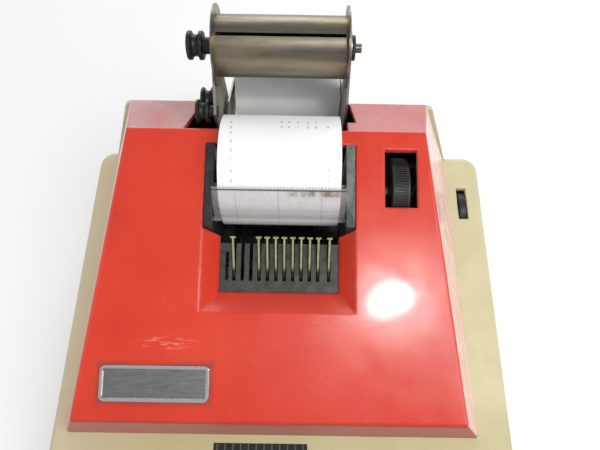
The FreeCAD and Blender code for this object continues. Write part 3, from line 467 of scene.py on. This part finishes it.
def arm_steel():
    """Plated steel with brown stains, brushed up and down."""
    paint = Paint("arm_steel", Metallic=1.0)
    stain = paint.noise(11.0, detail=6.0, roughness=0.7)
    plated, stained = (0.46, 0.44, 0.40), (0.28, 0.24, 0.19)
    paint.colour(paint.blend(stain, 0.35, 0.7, plated, stained))
    paint.roughness(paint.steps(stain, 0.3, 0.7, 0.3, 0.5))
    paint.bump(paint.noise(0.9, stretch=(1.0, 1.0, 0.1)), depth=0.02, edge=0.3)
    return paint.material


def bright_steel():
    """Zinc-plated steel with fine marks of turning and some wear."""
    paint = Paint("bright_steel", Metallic=1.0)
    turned = paint.noise(0.7, stretch=(1.0, 0.1, 0.1))
    bright, worn = (0.62, 0.61, 0.58), (0.42, 0.40, 0.36)
    paint.colour(paint.blend(paint.noise(6.0, detail=5.0), 0.4, 0.7, bright, worn))
    paint.roughness(paint.steps(turned, 0.3, 0.7, 0.22, 0.4))
    paint.bump(turned, depth=0.01)
    return paint.material


def brass_pins():
    """Brass heads and tops on stems that have tarnished nearly black further down."""
    paint = Paint("hammer_brass", Metallic=1.0)
    wear = paint.noise(3.0, detail=5.0)
    brass, dull_brass, tarnished = (0.90, 0.84, 0.55), (0.62, 0.54, 0.30), (0.03, 0.026, 0.02)
    base = paint.blend(wear, 0.35, 0.7, brass, dull_brass)
    height = (spot(0.0, 0.0, HAMMER_BRIGHT_Z) / MM).z
    tarnish = paint.steps(paint.axis("Z"), height - 1.0, height + 1.0, 0.93, 0.0)
    paint.colour(paint.mix(tarnish, base, tarnished))
    paint.roughness(paint.steps(wear, 0.3, 0.7, 0.25, 0.42))
    paint.bump(paint.noise(0.5, detail=2.0), depth=0.01)
    return paint.material


def comb_enamel():
    """Grey-green enamel with grime gathered in it."""
    paint = Paint("comb_enamel", IOR=1.45)
    grime = paint.noise(5.0, detail=6.0, roughness=0.7)
    grey_green, grimy = (0.050, 0.054, 0.040), (0.020, 0.019, 0.015)
    paint.colour(paint.blend(grime, 0.35, 0.7, grey_green, grimy))
    paint.roughness(paint.steps(grime, 0.3, 0.7, 0.42, 0.62))
    paint.bump(paint.noise(0.6, detail=4.0), depth=0.03, edge=0.2)
    return paint.material


def badge_metal():
    """A bright rim round a bare, dark, finely grained field."""
    paint = Paint("badge_metal", Metallic=1.0)
    field = paint.steps(beyond_badge(paint, *BADGE_FIELD_HALF), -0.1, 0.1, 1.0, 0.0)
    pits = paint.noise(1.2, detail=4.0)
    grain = paint.noise(0.8, detail=4.0, stretch=(0.1, 1.0, 1.0))
    bright, pitted = (0.72, 0.72, 0.72), (0.40, 0.39, 0.37)
    dark, streak = (0.20, 0.212, 0.215), (0.28, 0.285, 0.285)
    rim = paint.blend(pits, 0.55, 0.75, bright, pitted)
    paint.colour(paint.mix(field, rim, paint.blend(grain, 0.35, 0.7, dark, streak)))
    gloss = paint.steps(pits, 0.3, 0.7, 0.14, 0.3)
    paint.roughness(paint.math("ADD", gloss, paint.times(field, 0.2)))
    paint.bump(grain, depth=0.01, edge=0.2)
    return paint.material


def tape_paper():
    """White paper, faintly clouded, with fine fibres."""
    paint = Paint("tape_paper", Roughness=0.75)
    fibres = paint.noise(0.5, detail=4.0, stretch=(1.0, 0.4, 0.4))
    white, aged = (0.88, 0.88, 0.865), (0.83, 0.825, 0.80)
    paint.colour(paint.blend(paint.noise(22.0, detail=4.0), 0.4, 0.75, white, aged))
    paint.bump(fibres, depth=0.01)
    return paint.material


def roll_paper():
    """The roll's layers show as fine rings on its ends and faint steps on its face."""
    paint = Paint("roll_paper", Roughness=0.8)
    centre = spot(0.0, ROLL_Y, ROLL_Z) / MM
    y, z = paint.past("Y", centre.y), paint.past("Z", centre.z)
    square = paint.math("ADD", paint.times(y, y), paint.times(z, z))
    radius = paint.math("SQRT", square)
    rings = paint.math("SINE", paint.times(radius, FINE_RINGS))
    wide_rings = paint.math("SINE", paint.times(radius, WIDE_RINGS))
    shade = paint.math("MULTIPLY_ADD", rings, 0.3, paint.times(wide_rings, 0.2))
    dark_layer, pale_layer, grimy = (0.80, 0.795, 0.775), (0.86, 0.855, 0.84), (0.78, 0.77, 0.75)
    base = paint.blend(shade, -0.5, 0.5, dark_layer, pale_layer)
    paint.colour(paint.blend(paint.noise(14.0, detail=4.0), 0.4, 0.8, base, grimy))
    paint.bump(rings, depth=0.05)
    return paint.material


def clear_window():
    """Clear plastic, hazy, scored along its tear edge and a little brown beside it."""
    paint = Paint("clear_plastic", IOR=1.45)
    middle = spot(0.0, CURL_Y, CURL_Z) / MM
    turn = paint.math("ARCTAN2", paint.past("Z", middle.z), paint.past("Y", middle.y))
    degrees = paint.times(turn, 180.0 / math.pi)
    across = paint.past("X", middle.x)
    lines = paint.band(degrees, TEAR_LINE, half=0.35, soft=0.3)
    for place in SCORED_ROUND:
        faint = paint.times(paint.band(degrees, place, half=0.3, soft=0.3), 0.5)
        lines = paint.math("MAXIMUM", lines, faint)
    for place in SCORED_ACROSS:
        faint = paint.times(paint.band(across, place, half=0.12, soft=0.15), 0.45)
        lines = paint.math("MAXIMUM", lines, faint)
    haze = paint.noise(4.0, detail=6.0, stretch=(1.0, 0.5, 0.5), roughness=0.7)
    stain_round, stain_across = BROWN_STAIN
    stain = paint.times(
        paint.band(degrees, stain_round, half=1.8, soft=2.5),
        paint.band(across, stain_across, half=9.0, soft=5.0),
        paint.steps(haze, 0.42, 0.6),
    )
    clear, hazy = (0.45, 0.45, 0.44), (0.60, 0.60, 0.59)
    brown, black = (0.22, 0.12, 0.06), (0.03, 0.03, 0.03)
    base = paint.mix(stain, paint.blend(haze, 0.35, 0.7, clear, hazy), brown)
    paint.colour(paint.mix(lines, base, black))
    cover = paint.steps(haze, 0.35, 0.75, 0.16, 0.28)
    cover = paint.math("ADD", cover, paint.times(stain, 0.35))
    cover = paint.math("MAXIMUM", cover, paint.times(lines, 0.8))
    paint.link(cover, paint.shader.inputs["Alpha"])
    paint.roughness(paint.steps(haze, 0.35, 0.75, 0.08, 0.25))
    paint.bump(haze, depth=0.01)
    return paint.material


def rubber():
    """Black rubber with grey dust on it."""
    paint = Paint("rubber", Roughness=0.7)
    black, dusty = (0.022, 0.022, 0.022), (0.07, 0.068, 0.062)
    paint.colour(paint.blend(paint.noise(3.0, detail=5.0), 0.45, 0.75, black, dusty))
    paint.bump(paint.noise(0.5, detail=2.0), depth=0.03)
    return paint.material


def key_plastic(name, tone):
    """Satin plastic of one tone, darker where hands have left grime."""
    paint = Paint(name, IOR=1.47)
    grime = paint.noise(7.0, detail=5.0)
    paint.colour(paint.blend(grime, 0.4, 0.75, tone, tuple(0.8 * k for k in tone)))
    paint.roughness(paint.steps(grime, 0.3, 0.7, 0.3, 0.45))
    paint.bump(paint.noise(0.4, detail=2.0), depth=0.01)
    return paint.material


def printing_ink():
    """Grey ink that has printed unevenly."""
    paint = Paint("printing_ink", Roughness=0.8)
    fade = paint.noise(0.35)
    dark, lighter_tone = (0.20, 0.20, 0.22), (0.62, 0.62, 0.63)
    paint.colour(paint.blend(fade, 0.4, 0.65, dark, lighter_tone))
    paint.bump(fade, depth=0.01)
    return paint.material


def key_ink(name, tone):
    """Ink of one tone, paler where fingers have worn it."""
    paint = Paint(name, Roughness=0.5)
    wear = paint.noise(0.8)
    paint.colour(paint.blend(wear, 0.5, 0.75, tone, tuple(0.7 * k + 0.12 for k in tone)))
    paint.bump(wear, depth=0.01)
    return paint.material


def indicator_pane():
    """A dark pane with a row of faint ticks behind it."""
    paint = Paint("smoked_window", IOR=1.49, Roughness=0.12)
    place = paint.math("PINGPONG", paint.past("X", (DATUM / MM).x), HALF_TICK_PITCH)
    ticks = paint.times(paint.steps(place, 0.25, 0.45, 1.0, 0.0), 0.5)
    haze = paint.noise(5.0, detail=5.0)
    black, hazy, tick = (0.010, 0.010, 0.011), (0.024, 0.024, 0.024), (0.16, 0.15, 0.13)
    base = paint.blend(haze, 0.4, 0.75, black, hazy)
    paint.colour(paint.mix(ticks, base, tick))
    paint.bump(haze, depth=0.01)
    return paint.material


def pale_floor():
    paint = Paint("pale_floor", Roughness=0.9)
    cool, plain = (0.86, 0.86, 0.87), (0.89, 0.89, 0.89)
    paint.colour(paint.blend(paint.noise(400.0, detail=2.0), 0.3, 0.7, cool, plain))
    return paint.material


PAINTS = {
    "case_plastic": moulded_case(),
    "hood_plastic": moulded_hood(),
    "black_plastic": dark_plastic("black_plastic", shade=0.022, gloss=0.16),
    "wheel_plastic": dark_plastic("wheel_plastic", shade=0.008, gloss=0.38),
    "pulley_plastic": dark_plastic("pulley_plastic", shade=0.009, gloss=0.36),
    "dark_plate": dark_plastic("dark_plate", shade=0.03, gloss=0.45),
    "cheek_plastic": cheek_plastic(),
    "smoked_window": indicator_pane(),
    "motor_enamel": dark_plastic("motor_enamel", shade=0.06, gloss=0.4),
    "gear_plastic": dark_plastic("gear_plastic", shade=0.012, gloss=0.5),
    "white_keys": key_plastic("white_keys", (0.72, 0.69, 0.60)),
    "grey_keys": key_plastic("grey_keys", (0.085, 0.085, 0.08)),
    "red_key": key_plastic("red_key", (0.62, 0.05, 0.02)),
    "clear_plastic": clear_window(),
    "comb_enamel": comb_enamel(),
    "badge_metal": badge_metal(),
    "hammer_brass": brass_pins(),
    "zinc_steel": bright_steel(),
    "aged_steel": aged_steel(),
    "arm_steel": arm_steel(),
    "rubber": rubber(),
    "tape_paper": tape_paper(),
    "roll_paper": roll_paper(),
}

# Nodes that look unlike the rest of their slot, by age, paler grey on the right cheek, or painted
# dark for the shade inside the machine
OTHER_PAINTS = {
    "right_cheek": "cheek_plastic",
    "shaft_nut": "gear_plastic",
    "spool_shaft": "aged_steel",
    "hammer_shaft": "gear_plastic",
    "main_shaft": "gear_plastic",
}


def dress_nodes():
    """Gives each CAD node the material of its slot, or the one named for it above."""
    for entry in frame["record"]["subparts"]:
        made = nodes[entry["node"]]
        made.data.materials.clear()
        paint = OTHER_PAINTS.get(entry["node"], entry["material_slot"])
        made.data.materials.append(PAINTS[paint])


def lettering(name, text, size, place, up, paint, body):
    """A few characters laid on a surface, centred on place, moving with a body."""
    data = bpy.data.curves.new(name, "FONT")
    data.body = text
    data.size = size * MM
    data.align_x = "CENTER"
    data.align_y = "CENTER"
    data.extrude = INK_THICKNESS * MM
    data.resolution_u = INK_CURVE_STEPS
    drawn = bpy.data.objects.new(name, data)
    mesh = bpy.data.meshes.new_from_object(drawn)
    bpy.data.objects.remove(drawn)
    made = bpy.data.objects.new(name, mesh)
    columns = Matrix((RIGHT, up, RIGHT.cross(up))).transposed()
    made.matrix_world = Matrix.Translation(place) @ columns.to_4x4()
    bpy.context.scene.collection.objects.link(made)
    mesh.materials.append(paint)
    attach(made, body)


def tape_marks():
    """Small printed figures where the photo shows marks on the tape."""
    ink = printing_ink()
    for number, (x, degrees) in enumerate(COLUMN_MARKS + ROW_MARKS + FAINT_MARKS):
        angle = math.radians(degrees)
        normal = Vector((0.0, math.cos(angle), math.sin(angle)))
        up = Vector((0.0, math.sin(angle), -math.cos(angle)))
        place = spot(x, CURL_Y, CURL_Z) + normal * (CURL_RADIUS + MARK_LIFT) * MM
        text = FIGURE_ORDER[number % len(FIGURE_ORDER)]
        size = FAINT_MARK_SIZE if (x, degrees) in FAINT_MARKS else MARK_SIZE
        lettering("tape_mark_%d" % number, text, size, place, up, ink, "machine")


def key_legends():
    """A figure or sign on the top of each key."""
    dark = key_ink("dark_legend", (0.03, 0.03, 0.03))
    pale = key_ink("pale_legend", (0.75, 0.73, 0.68))
    legends = [("key_%d" % digit, str(digit), dark) for digit in range(10)]
    legends += [("clear_key", "C", pale), ("total_key", "*", pale), ("add_bar", "+", pale)]
    normal = Vector((0.0, -math.sin(DECK_SLOPE), math.cos(DECK_SLOPE)))
    up = normal.cross(RIGHT)
    for node, text, ink in legends:
        corners = [vertex.co.copy() for vertex in nodes[node].data.vertices]
        top = max(corner.dot(normal) for corner in corners)
        level = [corner for corner in corners if corner.dot(normal) > top - KEY_TOP_DEPTH * MM]
        low = Vector(min(corner[axis] for corner in level) for axis in range(3))
        high = Vector(max(corner[axis] for corner in level) for axis in range(3))
        place = (low + high) / 2
        place += normal * (top + LEGEND_LIFT * MM - place.dot(normal))
        lettering("legend_" + node, text, LEGEND_SIZE, place, up, ink, node)


def stage():
    bpy.ops.mesh.primitive_plane_add(size=FLOOR_SIZE, location=(0, 0, 0))
    floor = bpy.context.object
    floor.name = "floor"
    floor.data.materials.append(pale_floor())


def area_lamp(name, place, target, width, power, height=None):
    """An oval lamp, in metres and watts, that faces its target."""
    data = bpy.data.lights.new(name, "AREA")
    data.shape = "ELLIPSE"
    data.size = width
    data.size_y = height or width
    data.energy = power
    lamp = bpy.data.objects.new(name, data)
    lamp.location = place
    lamp.rotation_euler = (target - place).to_track_quat("-Z", "Y").to_euler()
    bpy.context.scene.collection.objects.link(lamp)
    return lamp


def lights():
    """Soft lamps round the machine, one small lamp for the glint on the hood, and the sky."""
    area_lamp("main_softbox", MAIN_PLACE, LAMPS_AIM, width=0.9, power=7.5)
    area_lamp("left_softbox", LEFT_PLACE, LAMPS_AIM, width=0.8, power=1.8)
    area_lamp("rear_window", REAR_PLACE, LAMPS_AIM, width=2.2, power=14.0, height=1.0)
    fill = area_lamp("front_fill", FILL_PLACE, LAMPS_AIM, width=0.4, power=2.4)
    fill.visible_glossy = False
    glint = spot(*GLINT_SPOT)
    glint_place = glint + GLINT_DIRECTION * GLINT_DISTANCE
    area_lamp("glint", glint_place, glint, width=0.098, power=1.6, height=0.076)
    world = bpy.data.worlds.new("studio")
    world.use_nodes = True
    background = world.node_tree.nodes["Background"]
    background.inputs["Color"].default_value = SKY_COLOUR
    background.inputs["Strength"].default_value = SKY_STRENGTH
    bpy.context.scene.world = world


def camera():
    """The camera of the photograph, turned about its own axis by the roll."""
    pitch, yaw, roll = (math.radians(a) for a in (CAMERA_PITCH, CAMERA_YAW, CAMERA_ROLL))
    level = math.cos(pitch)
    ahead = Vector((math.sin(yaw) * level, math.cos(yaw) * level, -math.sin(pitch)))
    right = Vector((math.cos(yaw), -math.sin(yaw), 0.0))
    up = right.cross(ahead)
    turned_right = math.cos(roll) * right + math.sin(roll) * up
    turned_up = -math.sin(roll) * right + math.cos(roll) * up
    data = bpy.data.cameras.new("camera")
    data.sensor_width = SENSOR_WIDTH
    data.lens = FOCAL_PIXELS * SENSOR_WIDTH / IMAGE_WIDTH
    data.clip_start = CLIP_START
    made = bpy.data.objects.new("camera", data)
    columns = Matrix((turned_right, turned_up, -ahead)).transposed()
    made.matrix_world = Matrix.Translation(spot(*CAMERA_PLACE)) @ columns.to_4x4()
    bpy.context.scene.collection.objects.link(made)
    bpy.context.scene.camera = made


dress_nodes()
tape_marks()
key_legends()
stage()
lights()
camera()
bpy.context.scene.view_settings.view_transform = "Standard"
